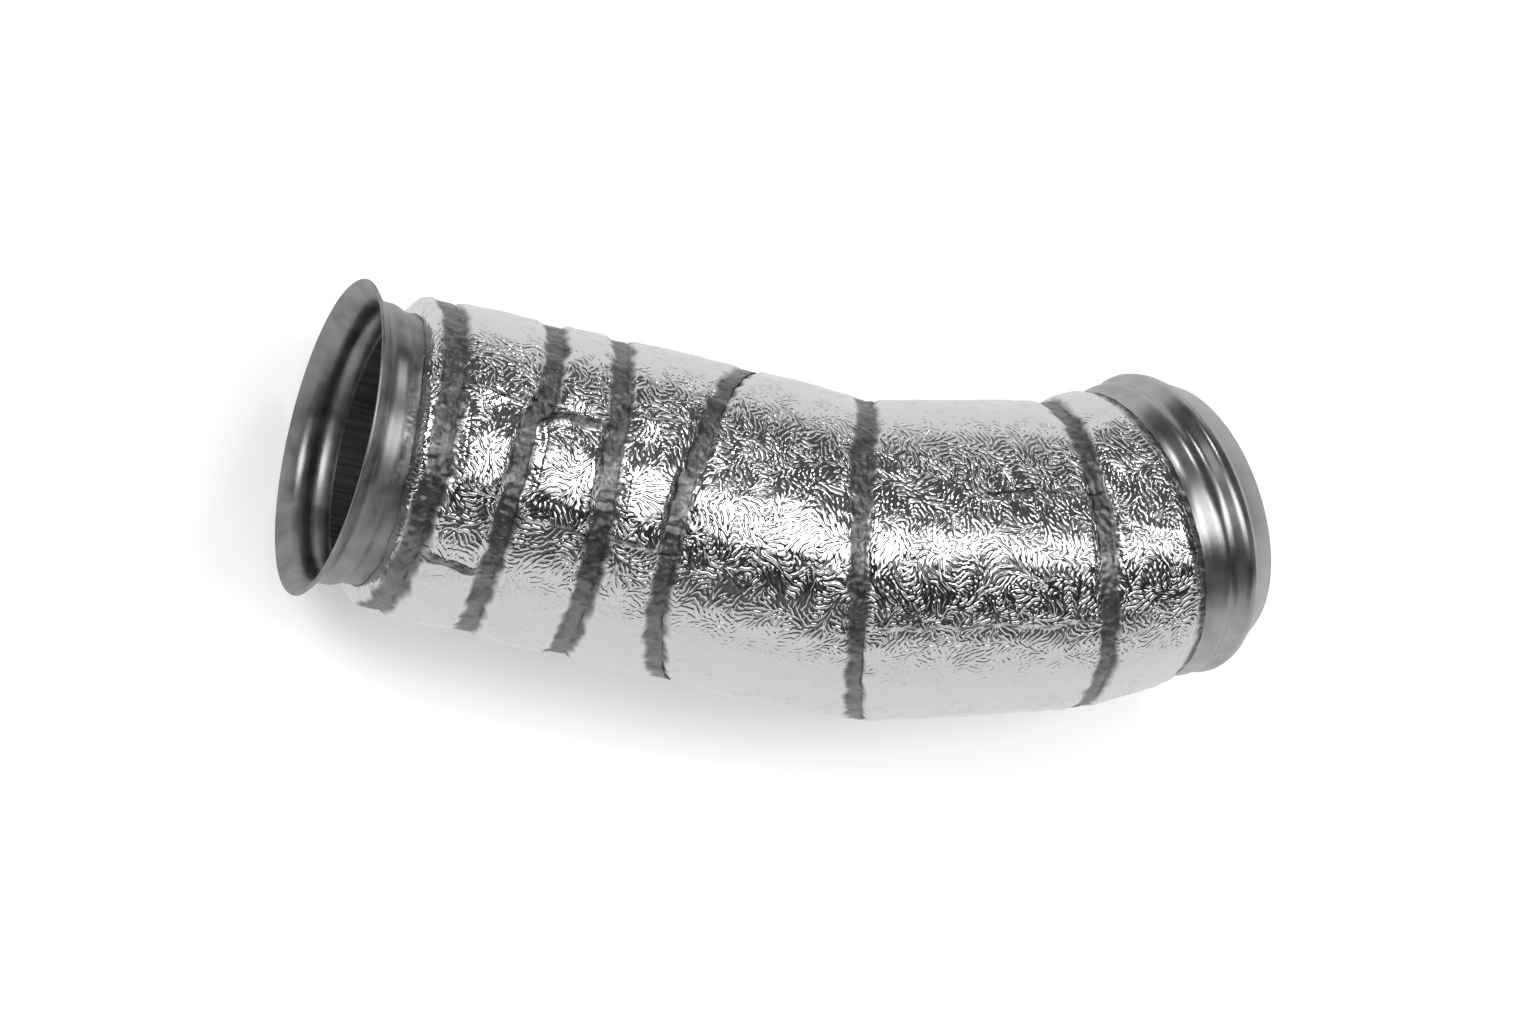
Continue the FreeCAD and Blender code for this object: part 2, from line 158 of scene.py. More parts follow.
# Embossed stainless foil, cold rolled bright: its worm-like ridges break every reflection into short bright
# and dark marks, and its rolled seams are dull grey with smudged borders
foilLook = {
    "steel": "#dadada",
    "seam": "#888888",
    # dark of the grime along the seams, and of the painted shade on the seams' tops and along the foil's
    # edges
    "grimeAndShade": "#333333",
    "embossPitch": 2.7,         # mm from ridge to ridge
    "embossDepth": 0.55,        # mm
    "lieSize": 24,              # mm over which the ridges swing round
    "patchSize": 18,            # mm over which they are deeper or shallower
    "flank": (0.042, 0.068),    # m above the pipe's middle, where the flatter flank ends and the top starts
    "rollMark": 3.4,            # mm, lumps of the rolled seams
    "rollDepth": 1.1,           # mm
    "grainSize": 1.3,           # mm, dull and less dull specks on the seams
    "grimeSize": 9,             # mm, blotches along the seams' borders
}


def makeFoil(look):
    material, tree = newMaterial("embossed stainless foil")
    coords = addNode(tree, "ShaderNodeTexCoord").outputs["Object"]
    ironed = addNode(tree, "ShaderNodeAttribute", attribute_name="ironed").outputs["Fac"]
    edgeShadeAndTearMark = addNode(tree, "ShaderNodeAttribute", attribute_name="edgeShadeAndTearMark").outputs["Fac"]
    sheet = addNode(tree, "ShaderNodeUVMap", uv_map="sheet").outputs["UV"]
    smudge = noiseOver(tree, coords, look["rollMark"], 0.5, 0.4)
    grain = noiseOver(tree, coords, look["grainSize"], 3.0)
    patches = noiseOver(tree, coords, look["patchSize"], 2.0)
    blotch = noiseOver(tree, coords, look["grimeSize"], 4.0)
    lieTurn = calculate(tree, "MULTIPLY", noiseOver(tree, coords, look["lieSize"], 1.0), 4 * math.pi)
    wavesPerCell = 2.0
    worms = addNode(
        tree, "ShaderNodeTexGabor", gabor_type="2D",
        inputs={
            "Vector": sheet, "Scale": 1 / (look["embossPitch"] * wavesPerCell * mm),
            "Frequency": wavesPerCell, "Anisotropy": 0.76, "Orientation": lieTurn,
        },
    )
    ridge = remap(tree, worms.outputs["Value"], 0.42, 0.74, curve="SMOOTHSTEP")
    # the flanks are pressed flatter than the top, and the same height gives the seams on top painted shade
    upward = addNode(tree, "ShaderNodeSeparateXYZ", {"Vector": coords}).outputs["Z"]
    low, high = look["flank"]
    crisp = remap(tree, upward, low, high, 0.3, 1.0, "SMOOTHSTEP")
    # a rolled band fades out raggedly, with grime along it in blotches and painted shade on its top, where
    # the lamp's highlight falls
    band = calculate(tree, "ADD", ironed, calculate(tree, "SUBTRACT", blotch, 0.5))
    seam = remap(tree, band, 0.2, 0.92, curve="SMOOTHSTEP")
    # painted shade: the seams darken more the higher they lie
    topShadeLevel = calculate(tree, "MULTIPLY_ADD", crisp, 0.4, -0.97)
    grimeAndTopShade = calculate(tree, "MULTIPLY_ADD", blotch, 1.9, topShadeLevel)
    grimeAndPaintedShade = calculate(tree, "MULTIPLY", grimeAndTopShade, seam, use_clamp=True)
    # painted shade along the foil's lapped and open edges, and a darker patch at the last strip's tear
    grimeAndPaintedShade = calculate(tree, "MAXIMUM", grimeAndPaintedShade, edgeShadeAndTearMark)
    # the ridges end at the seams, where the roller's lumps take over
    loose = calculate(tree, "SUBTRACT", 1.0, seam)
    strength = calculate(tree, "MULTIPLY", loose, remap(tree, patches, 0.35, 0.65, 0.45, 1.0))
    strength = calculate(tree, "MULTIPLY", strength, crisp)
    emboss = bumpOf(tree, calculate(tree, "MULTIPLY", ridge, strength), look["embossDepth"])
    bump = bumpOf(tree, calculate(tree, "MULTIPLY", smudge, seam), look["rollDepth"], normal=emboss)
    plain = blend(tree, seam, hexColour(look["steel"]), hexColour(look["seam"]))
    colour = blend(tree, grimeAndPaintedShade, plain, hexColour(look["grimeAndShade"]))
    seamRough = remap(tree, grain, 0.3, 0.7, 0.38, 0.5)
    rough = addNode(tree, "ShaderNodeMix", {"Factor": seam, "A": 0.13, "B": seamRough}, data_type="FLOAT")
    surfaceOf(tree, colour, 1.0, rough.outputs["Result"], bump)
    return material


# Spun steel of the flanges: satin, with faint rings left by the forming roller and soft cloudy wear
def makeSpunSteel(name, turn, look):
    material, tree = newMaterial(name)
    coords = addNode(tree, "ShaderNodeTexCoord").outputs["Object"]
    drawnRound = {"Vector": coords, "Rotation": (0, 0, -turn), "Scale": (1, 0.03, 0.03)}
    axis = addNode(tree, "ShaderNodeMapping", drawnRound).outputs[0]
    rings = noiseOver(tree, axis, look["ringPitch"], 4.0, 0.65)
    clouds = noiseOver(tree, coords, look["cloud"], 4.0)
    tone = remap(tree, clouds, 0.3, 0.7)
    colour = blend(tree, tone, hexColour(look["dark"]), hexColour(look["pale"]))
    low, high = look["roughness"]
    rough = remap(tree, clouds, 0.3, 0.7, low, high)
    surfaceOf(tree, colour, 1.0, rough, bumpOf(tree, rings, look["ringDepth"], look["ringStrength"]))
    return material


foilSteel = makeFoil(foilLook)
# duller and darker than the outlet, from the clamp and the gas
inletSteel = makeSpunSteel("satin spun steel", 0.0, {
    "dark": "#787878", "pale": "#a4a4a4", "cloud": 14, "roughness": (0.32, 0.46),
    "ringPitch": 1.5, "ringDepth": 0.05, "ringStrength": 0.3,
})
# brighter, with clear streaks of light along the bead and the ring
outletSteel = makeSpunSteel("polished spun steel", 2 * kinkTurn, {
    "dark": "#989898", "pale": "#bababa", "cloud": 18, "roughness": (0.26, 0.36),
    "ringPitch": 1.5, "ringDepth": 0.05, "ringStrength": 0.15,
})
print("materials made")

# Foil jacket, in mm and degrees: its seams as the source lays them, counted from the inlet's lip, and the way
# each strip is puffed up
jacket = {
    "columns": 432,
    "rowStep": 1.15,
    "seamRowStep": 0.85,    # finer rows beside a seam
    "seamZone": 7.5,        # and how far they go, apart from the rise
    "sheetRadius": 77,      # for the flat map of the foil
    "foil": 0.4,
    "lap": 3.4,
    "valleyRise": 3.4,
    "valleyDepth": 1.3,
    "step": 0.75,
    "seams": {
        "collar": {"at": 43.0, "lean": -2.0, "way": 0.0, "radius": 74.6, "half": 5.6, "jogs": []},
        "first": {"at": 87.0, "lean": -10.5, "way": 25.0, "radius": 75.6, "half": 4.2, "jogs": [(77, -6.0)]},
        "second": {"at": 130.0, "lean": -11.5, "way": 0.0, "radius": 76.5, "half": 4.6, "jogs": []},
        "third": {"at": 193.0, "lean": -29.0, "way": 15.0, "radius": 77.8, "half": 4.2, "jogs": []},
        "fourth": {"at": 277.5, "lean": -25.0, "way": 0.0, "radius": 79.4, "half": 4.2, "jogs": []},
        "fifth": {"at": goreLength, "lean": -9.0, "way": 0.0, "radius": 78.3, "half": 4.4, "jogs": []},
    },
    # how far two seams lie off the source's line: all round, toward +Y and on top
    "slides": {"collar": (-4.6, 2.0, -2.3), "fifth": (-4.7, 5.0, -0.5)},
    "strips": [
        {"node": "foil_1", "leg": "inlet", "left": "collar", "right": "first", "puff": (1.2, 2.0)},
        {"node": "foil_2", "leg": "inlet", "left": "first", "right": "second", "puff": (1.2, 2.0)},
        {"node": "foil_3", "leg": "inlet", "left": "second", "right": "third", "puff": (1.2, 1.8)},
        {"node": "foil_4", "leg": "inlet", "left": "third", "right": "fourth", "puff": (1.0, 0.0)},
        {"node": "foil_5", "leg": "gore", "left": "fourth", "right": "fifth", "puff": (0.9, 0.0)},
    ],
    # how wide of the top a puff spreads
    "puffMiddle": 98,
    "puffSpread": 32,
    # the sheet's own lap on a strip: where it starts and ends, how far each edge is ironed, and the share of
    # the strip's width after which the first edge stands open
    "flaps": {
        "foil_1": {"first": 72, "ironFirst": 0.1, "last": 137, "ironLast": 0.75, "opens": 0.0},
        "foil_2": {"first": 75, "ironFirst": 0.8, "last": 113, "ironLast": 0.1, "opens": 0.0},
        "foil_3": {"first": 68, "ironFirst": 0.15, "last": 114, "ironLast": 0.45, "opens": 0.0},
        "foil_5": {"first": 72, "ironFirst": 0.5, "last": 120, "ironLast": 0.25, "opens": 0.5},
    },
    "flapProud": 0.9,
    "collarStart": 27.8,
    "collarReach": 5.5,     # further onto the neck, round the middle of its reach
    "reachMiddle": 85,
    "reachSpread": 60,
    "collarCurl": 6.0,
    "collarMouth": 65.5,
    "edgeAt": 33.9,
    "edgeRadius": 76.0,
    "tearMiddle": 96,       # darker patch in the last strip's edge, at the tear
    "tearSpread": 13,
}
seamOrder = list(jacket["seams"])
kinkSeams = ("fourth", "fifth")
legOffset = {"inlet": 0.0, "gore": 0.4, "outlet": 0.6}   # m, so that the embossing doesn't repeat


def seamSlope(seam, turn):
    lean, way = math.radians(seam["lean"]), math.radians(seam["way"])
    normal = Vector((math.cos(lean), math.sin(lean) * math.sin(way), -math.sin(lean) * math.cos(way)))
    normal = Matrix.Rotation(turn, 3, "Z") @ normal
    return -normal.y / normal.x, -normal.z / normal.x


def seamStation(name, side, angle):
    seam = jacket["seams"][name]
    atKink = name in kinkSeams
    turn = (kinkTurn / 2 if side == "before" else -kinkTurn / 2) if atKink else 0.0
    at = 0.0 if atKink and side == "after" else seam["at"]
    across, up = seamSlope(seam, turn)
    onRing = Vector((math.cos(angle), math.sin(angle), seamOrder.index(name) * 3.7))
    wobble = 1.6 * noise.noise(onRing * 2.1) + 0.7 * noise.noise(onRing * 6.3)
    degrees = math.degrees(angle) % 360
    for place, size in seam["jogs"]:
        wobble += size * (smooth(place - 3, place + 3, degrees) - 0.5) * (1 - smooth(130, 175, degrees))
    allRound, toward, onTop = jacket["slides"].get(name, (0, 0, 0))
    slide = allRound + toward * math.cos(angle) + onTop * math.sin(angle)
    return at + slide + seam["radius"] * (across * math.cos(angle) + up * math.sin(angle)) + wobble


def followKink(name, side, station, past, share, angle):
    # a seam that leans across a kink lies between both legs, and past it the lapped edge follows the next
    if name not in kinkSeams:
        return 0.0
    beyond = station - jacket["seams"][name]["at"] if side == "before" else -station
    return (beyond * math.tan(kinkTurn / 2) * share + max(past, 0) * math.tan(kinkTurn)) * math.cos(angle)


def foilGrid(name, rows):
    deselectAll()
    bpy.ops.mesh.primitive_cylinder_add(
        vertices=jacket["columns"], radius=1, depth=1, end_fill_type="NOTHING", location=(0, 0, 0)
    )
    piece = bpy.context.object
    piece.name = piece.data.name = name
    bpy.ops.object.mode_set(mode="EDIT")
    bpy.ops.mesh.select_mode(type="EDGE")
    bpy.ops.mesh.select_all(action="DESELECT")
    bpy.ops.object.mode_set(mode="OBJECT")
    for edge in piece.data.edges:
        a, b = (piece.data.vertices[i].co for i in edge.vertices)
        edge.select = abs(a.z - b.z) > 0.5
    bpy.ops.object.mode_set(mode="EDIT")
    bpy.ops.mesh.subdivide_edgering(number_cuts=rows - 2, interpolation="LINEAR", smoothness=0)
    bpy.ops.object.mode_set(mode="OBJECT")
    return piece


def evenSteps(first, last, step):
    count = max(int(math.ceil((last - first) / step)), 1)
    return [first + (last - first) * n / count for n in range(count + 1)]


def layFlat(piece, flat):
    # a map of the strip as a flat sheet, in metres, cut along its underside
    sheet = piece.data.uv_layers.new(name="sheet")
    around = 2 * math.pi * jacket["sheetRadius"] * mm
    for face in piece.data.polygons:
        first = flat[face.vertices[0]][0]
        for loop, vertex in zip(face.loop_indices, face.vertices):
            u, v = flat[vertex]
            u += around * round((first - u) / around)
            sheet.data[loop].uv = (u, v)


def onSheet(angle, along, leg):
    return (angle + math.pi / 2) % (2 * math.pi) * jacket["sheetRadius"] * mm, along * mm + legOffset[leg]


def closeFoil(piece, marks, flat):
    for name, values in marks.items():
        attribute = piece.data.attributes.new(name, "FLOAT", "POINT")
        attribute.data.foreach_set("value", values)
    while piece.data.uv_layers:
        piece.data.uv_layers.remove(piece.data.uv_layers[0])
    layFlat(piece, flat)
    deselectAll()
    piece.select_set(True)
    bpy.context.view_layer.objects.active = piece
    wall = piece.modifiers.new("wall", "SOLIDIFY")
    wall.thickness = jacket["foil"] * mm
    wall.offset = -1
    bpy.ops.object.modifier_apply(modifier=wall.name)
    bpy.ops.object.shade_smooth_by_angle(angle=math.radians(50))


def bulge(value, middle, spread):
    return math.exp(-(((value - middle) / spread) ** 2))


def arch(share):
    return max(1 - (2 * share - 1) ** 2, 0)


def dents(point):
    # noise of three sizes, in mm
    coarse = noise.noise(point / 26) * 0.45
    fine = noise.noise(point / 10 + Vector((40, 0, 0))) * 0.28
    finest = noise.noise(point / 5 + Vector((0, 0, 40))) * 0.1
    return coarse + fine + finest


def lumps(point):
    return noise.noise(point / 4.5) * 0.3 + noise.noise(point / 2.2) * 0.15


def crumple(point):
    # sharp little folds, where the foil is drawn into a seam
    return (0.5 - abs(noise.noise(point / 7 + Vector((0, 60, 0))))) * 0.9


def shapeStrip(strip):
    left, right = jacket["seams"][strip["left"]], jacket["seams"][strip["right"]]
    flap = jacket["flaps"].get(strip["node"])
    rise = jacket["valleyRise"]
    zone = jacket["seamZone"] + rise
    narrow = right["at"] - (0 if strip["leg"] == "gore" else left["at"])
    rowsLeft = evenSteps(-jacket["lap"], zone, jacket["seamRowStep"])
    rowsRight = evenSteps(-zone, jacket["lap"], jacket["seamRowStep"])
    middleCount = int((narrow - 2 * zone) / jacket["rowStep"])
    layout = [("left", d) for d in rowsLeft]
    layout += [("middle", n / middleCount) for n in range(1, middleCount)]
    layout += [("right", d) for d in rowsRight]
    piece = foilGrid(strip["node"].replace("_", "Strip"), len(layout))
    stations = {}
    marks, flat = {"ironed": [], "edgeShadeAndTearMark": []}, []
    for vertex in piece.data.vertices:
        angle = math.atan2(vertex.co.y, vertex.co.x)
        key = round(angle * 1e4)
        if key not in stations:
            stations[key] = (
                seamStation(strip["left"], "after", angle), seamStation(strip["right"], "before", angle)
            )
        low, high = stations[key]
        kind, amount = layout[round((vertex.co.z + 0.5) * (len(layout) - 1))]
        if kind == "left":
            along = low + amount
        elif kind == "right":
            along = high + amount
        else:
            along = mix(low + zone, high - zone, amount)
        fromLeft, fromRight = along - low, high - along
        spread = fromLeft / (fromLeft + fromRight)
        crest = mix(left["radius"], right["radius"], spread)
        spot = onLeg(strip["leg"], along, crest, angle) / mm
        edgeNoise = noise.noise(spot / 7)
        degrees = math.degrees(angle) % 360
        allRound, onTop = strip["puff"]
        puff = arch(spread) * (allRound + onTop * bulge(degrees, jacket["puffMiddle"], jacket["puffSpread"]))
        wander = edgeNoise * 1.6
        leftRise = smooth(left["half"] + wander - 1, left["half"] + rise + wander, fromLeft)
        rightRise = smooth(right["half"] - wander - 1, right["half"] + rise - wander, fromRight)
        rolled = 1 - min(leftRise, rightRise)
        depth = jacket["valleyDepth"] * (1 - leftRise)
        depth += (jacket["valleyDepth"] - jacket["step"]) * (1 - rightRise)
        drawn = 1 - smooth(4, 18, min(fromLeft, fromRight))
        radius = crest + puff * (1 - rolled) - depth + lumps(spot) * rolled
        radius += (dents(spot) + crumple(spot) * drawn) * (1 - rolled)
        radius += followKink(strip["left"], "after", low, -fromLeft, 1 - spread, angle)
        radius += followKink(strip["right"], "before", high, -fromRight, spread, angle)
        leftLoose = smooth(left["half"] - 2 + wander, left["half"] + 5 + wander, fromLeft)
        rightLoose = smooth(right["half"] - 2 - wander, right["half"] + 5 - wander, fromRight)
        ironed = 1 - min(leftLoose, rightLoose)
        # painted shade along the lapped foil edge past the right seam
        edgeShadeAndTearMark = smooth(1.0, 3.0, -fromRight) * 0.7 * smooth(-0.2, 0.3, noise.noise(spot / 9))
        if flap:
            shift = noise.noise(spot / 14) * 2.2
            opened = smooth(flap["opens"] - 0.1, flap["opens"] + 0.02, spread)
            # mm from the lap's first and last edge, inward
            nearFirst = (degrees - flap["first"] + shift) * crest * math.pi / 180
            nearLast = (flap["last"] + shift - degrees) * crest * math.pi / 180
            inside = smooth(-mix(12, 0.6, opened), 0.6, nearFirst) * smooth(-0.6, 0.6, nearLast)
            inside *= smooth(left["half"] + rise - 1.0, left["half"] + rise + 1.2, fromLeft)
            inside *= smooth(right["half"] + rise - 1.0, right["half"] + rise + 1.2, fromRight)
            radius += jacket["flapProud"] * inside
            ironed = max(ironed, flap["ironLast"] * (1 - smooth(1.0, 4.0, abs(nearLast - 2))))
            ironed = max(ironed, opened * flap["ironFirst"] * (1 - smooth(1.0, 4.0, abs(nearFirst - 2))))
            # painted shade along the lap's edges, where the foil stands off the strip below
            firstLine = opened * (1 - smooth(0.3, 1.5, abs(nearFirst)))
            lastLine = 1 - smooth(0.3, 1.3, abs(nearLast))
            edgeShadeAndTearMark = max(edgeShadeAndTearMark, max(firstLine, lastLine) * smooth(-0.3, 0.2, noise.noise(spot / 6)))
        marks["ironed"].append(ironed)
        marks["edgeShadeAndTearMark"].append(edgeShadeAndTearMark)
        flat.append(onSheet(angle, along, strip["leg"]))
        vertex.co = onLeg(strip["leg"], along, radius, angle)
    closeFoil(piece, marks, flat)
    finishPiece(piece, foilSteel, "foil", strip["node"])
    print("strip", strip["node"], "rows", len(layout))


def shapeCollar():
    seam = jacket["seams"]["collar"]
    half, rise = seam["half"], jacket["valleyRise"]
    turns = evenSteps(0, 90, 6)
    flats = evenSteps(0, 1, 0.05)
    layout = [("curl", a) for a in turns] + [("flat", t) for t in flats[1:]]
    piece = foilGrid("foilCollar", len(layout))
    curl = jacket["collarCurl"]
    marks, flat = {"ironed": [], "edgeShadeAndTearMark": []}, []
    for vertex in piece.data.vertices:
        angle = math.atan2(vertex.co.y, vertex.co.x)
        high = seamStation("collar", "before", angle)
        kind, amount = layout[round((vertex.co.z + 0.5) * (len(layout) - 1))]
        start = jacket["collarStart"] + noise.noise(Vector((math.cos(angle), math.sin(angle), 9)) * 5) * 0.9
        reach = bulge(math.degrees(angle), jacket["reachMiddle"], jacket["reachSpread"])
        start -= jacket["collarReach"] * reach
        crest = seam["radius"]
        if kind == "curl":
            along = start + curl * (1 - math.cos(math.radians(amount)))
            radius = mix(jacket["collarMouth"], crest, math.sin(math.radians(amount)))
        else:
            along = mix(start + curl, high + jacket["lap"], amount)
            radius = crest
        fromRight = high - along
        climb = (curl + crest - jacket["collarMouth"]) * math.pi / 4    # mm of foil round the curl
        rolledOut = along - start - curl if kind == "flat" else climb * (amount / 90 - 1)
        spot = onLeg("inlet", along, radius, angle) / mm
        rightRise = smooth(half - 1.0, half + rise - 1.0, fromRight + noise.noise(spot / 7))
        rolled = 1 - rightRise
        radius -= (jacket["valleyDepth"] - jacket["step"]) * rolled
        held = smooth(0, 30, amount if kind == "curl" else 30)
        radius += (noise.noise(spot / 6) * 0.5 + crumple(spot) * 0.8) * (1 - rolled) * held
        radius += lumps(spot) * rolled
        marks["ironed"].append(1 - smooth(half - 2, half + 4, fromRight + noise.noise(spot / 7)))
        # painted shade along the lapped foil edge past the seam
        marks["edgeShadeAndTearMark"].append(smooth(1.0, 3.0, -fromRight) * 0.7 * smooth(-0.2, 0.3, noise.noise(spot / 9)))
        flat.append(onSheet(angle, rolledOut, "inlet"))
        vertex.co = onLeg("inlet", along, radius, angle)
    closeFoil(piece, marks, flat)
    finishPiece(piece, foilSteel, "foil", "foil_collar")
    print("collar strip")


def shapeLastStrip():
    seam = jacket["seams"]["fifth"]
    half, rise = seam["half"], jacket["valleyRise"]
    zone = half + rise + 1.0
    rowsLeft = evenSteps(-jacket["lap"], zone, jacket["seamRowStep"])
    count = 26
    layout = [("left", d) for d in rowsLeft] + [("flat", n / count) for n in range(1, count + 1)]
    piece = foilGrid("foilStrip6", len(layout))
    marks, flat = {"ironed": [], "edgeShadeAndTearMark": []}, []
    for vertex in piece.data.vertices:
        angle = math.atan2(vertex.co.y, vertex.co.x)
        low = seamStation("fifth", "after", angle)
        ragged = Vector((math.cos(angle), math.sin(angle), 17))
        end = jacket["edgeAt"] + noise.noise(ragged * 4) * 0.7 + noise.noise(ragged * 14) * 0.5
        kind, amount = layout[round((vertex.co.z + 0.5) * (len(layout) - 1))]
        along = low + amount if kind == "left" else mix(low + zone, end, amount)
        fromLeft, fromRight = along - low, end - along
        spread = fromLeft / (fromLeft + fromRight)
        crest = mix(seam["radius"], (seam["radius"] + jacket["edgeRadius"]) / 2 + 0.6, spread)
        spot = onLeg("outlet", along, crest, angle) / mm
        edgeNoise = noise.noise(spot / 7)
        leftRise = smooth(half + edgeNoise - 0.4, half + rise + edgeNoise, fromLeft)
        rightRise = smooth(3.2 + edgeNoise * 0.8, 7.5 + edgeNoise, fromRight)
        rolled = 1 - min(leftRise, rightRise)
        radius = mix(jacket["edgeRadius"], crest, rightRise) - jacket["valleyDepth"] * (1 - leftRise)
        radius += 0.9 * arch(spread) * (1 - rolled)
        radius += followKink("fifth", "after", low, -fromLeft, 1 - spread, angle)
        radius += (dents(spot) + crumple(spot) * 0.5) * (1 - rolled) + lumps(spot) * 0.8 * rolled
        leftLoose = smooth(half - 2 + edgeNoise, half + 5 + edgeNoise, fromLeft)
        rightLoose = smooth(0.5 + edgeNoise, 7 + edgeNoise, fromRight)
        marks["ironed"].append(1 - min(leftLoose, rightLoose))
        torn = bulge(math.degrees(angle), jacket["tearMiddle"], jacket["tearSpread"])
        torn *= 1 - smooth(4, 9, fromRight + edgeNoise * 4)
        # painted shade along the strip's open end, and a darker patch at the tear
        endEdgeShade = (1 - smooth(0.6, 2.2, fromRight)) * smooth(-0.3, 0.2, noise.noise(spot / 9))
        marks["edgeShadeAndTearMark"].append(max(endEdgeShade, torn * 0.9))
        flat.append(onSheet(angle, along, "outlet"))
        vertex.co = onLeg("outlet", along, radius, angle)
    closeFoil(piece, marks, flat)
    finishPiece(piece, foilSteel, "foil", "foil_6")
    print("last strip")


shapeCollar()
for strip in jacket["strips"]:
    shapeStrip(strip)
shapeLastStrip()

# Flanges: each profile is spun round its leg, in mm of station, radius and how much of the corner is bent
skirt = 65.2
inletProfile = {
    "leg": "inlet", "wall": 1.5, "edge": 0.5, "steps": 240,
    "corners": [
        (0, 76.0, 0), (7.4, 67.5, 0.45), (15.2, 67.7, 0.42), (19.6, skirt, 0.48), (45, skirt, 0),
    ],
}
sleeve = 75.0
outletProfile = {
    "leg": "outlet", "wall": 1.5, "edge": 0.5, "steps": 240,
    "corners": [
        (8.1, skirt, 0), (18.2, skirt, 0.3), (24.2, sleeve, 0.3), (38, sleeve, 0.3), (45.5, 77.7, 0.42),
        (51.2, 75.9, 0.42), (58, 79.7, 0.42), (63.2, 78.0, 0.42), (65.1, 75.9, 0.42), (79.4, 67.6, 0),
    ],
}
bendSteps = 8


def bentLine(corners):
    points = [Vector((s, r)) for s, r, _ in corners]
    line = []
    for n, (_, _, share) in enumerate(corners):
        if not share:
            line.append(points[n])
            continue
        back, ahead = points[n - 1] - points[n], points[n + 1] - points[n]
        reach = share * min(back.length, ahead.length)
        first, last = points[n] + back.normalized() * reach, points[n] + ahead.normalized() * reach
        for k in range(bendSteps + 1):
            t = k / bendSteps
            line.append((1 - t) ** 2 * first + 2 * t * (1 - t) * points[n] + t * t * last)
    return line


def spinFlange(name, profile, material, node):
    line = bentLine(profile["corners"])
    spots = [onLeg(profile["leg"], p.x, p.y, math.pi / 2) for p in line]
    deselectAll()
    bpy.ops.mesh.primitive_plane_add(size=mm, location=(0, 0, 0))
    piece = bpy.context.object
    piece.name = piece.data.name = name
    bpy.ops.object.mode_set(mode="EDIT")
    bpy.ops.mesh.select_mode(type="VERT")
    bpy.ops.mesh.select_all(action="SELECT")
    bpy.ops.mesh.merge(type="CENTER")
    bpy.ops.transform.translate(value=spots[0])
    for here, there in zip(spots, spots[1:]):
        bpy.ops.mesh.extrude_region_move(TRANSFORM_OT_translate={"value": there - here})
    bpy.ops.mesh.select_all(action="SELECT")
    start, heading = legs[profile["leg"]]
    bpy.ops.mesh.spin(
        steps=profile["steps"], angle=2 * math.pi, center=start * mm,
        axis=(math.cos(heading), math.sin(heading), 0),
    )
    bpy.ops.mesh.select_all(action="SELECT")
    bpy.ops.mesh.remove_doubles(threshold=0.00002)
    bpy.ops.mesh.normals_make_consistent(inside=False)
    bpy.ops.object.mode_set(mode="OBJECT")
    wall = piece.modifiers.new("wall", "SOLIDIFY")
    wall.thickness = profile["wall"] * mm
    wall.offset = -1
    wall.use_even_offset = True
    bpy.ops.object.modifier_apply(modifier=wall.name)
    edge = piece.modifiers.new("edge", "BEVEL")
    edge.width = profile["edge"] * mm
    edge.segments = 3
    edge.angle_limit = math.radians(50)
    bpy.ops.object.modifier_apply(modifier=edge.name)
    bpy.ops.object.shade_smooth_by_angle(angle=math.radians(40))
    finishPiece(piece, material, "flange_steel", node)
    print("flange", name, len(piece.data.polygons))


spinFlange("inletFlange", inletProfile, inletSteel, "inlet_flange")
spinFlange("outletFlange", outletProfile, outletSteel, "outlet_flange")


# Hidden parts keep their solids and get a finish: one noise, drawn out along the pipe or not, sets the tone
def makePlain(name, look):
    material, tree = newMaterial(name)
    coords = addNode(tree, "ShaderNodeTexCoord").outputs["Object"]
    drawnOut = addNode(tree, "ShaderNodeMapping", {"Vector": coords, "Scale": look["stretch"]}).outputs[0]
    grain = noiseOver(tree, drawnOut, look["grain"], 5.0, 0.65)
    tone = remap(tree, grain, 0.3, 0.7)
    colour = blend(tree, tone, hexColour(look["dark"]), hexColour(look["pale"]))
    surfaceOf(tree, colour, look["metal"], look["roughness"], bumpOf(tree, grain, look["relief"]))
    return material


# drawn tube: sooted grey with lengthwise lines from the drawing die
tubeSteel = makePlain("drawn steel tube, sooted", {
    "dark": "#6a6a6a", "pale": "#b4b4b4", "grain": 2.0, "stretch": (0.02, 1, 1), "relief": 0.12,
    "metal": 1.0, "roughness": 0.42,
})
# weld bead: rippled, blue-grey scale
weldSteel = makePlain("fillet weld, scaled", {
    "dark": "#4c4c50", "pale": "#8e8e90", "grain": 2.0, "stretch": (1, 1, 1), "relief": 0.4,
    "metal": 1.0, "roughness": 0.45,
})
# needled glass mat: off-white, matted fibres
matFibre = makePlain("needled glass fibre mat", {
    "dark": "#b8b4a8", "pale": "#efece2", "grain": 1.2, "stretch": (0.3, 1, 1), "relief": 0.8,
    "metal": 0.0, "roughness": 0.95,
})
finishes = {
    "inner_pipe": tubeSteel, "inlet_weld": weldSteel, "outlet_weld": weldSteel,
    "mat_leg": matFibre, "mat_bend": matFibre,
}
for name, finish in finishes.items():
    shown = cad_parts[name]
    shown.data.materials.clear()
    shown.data.materials.append(finish)
print("hidden parts finished")

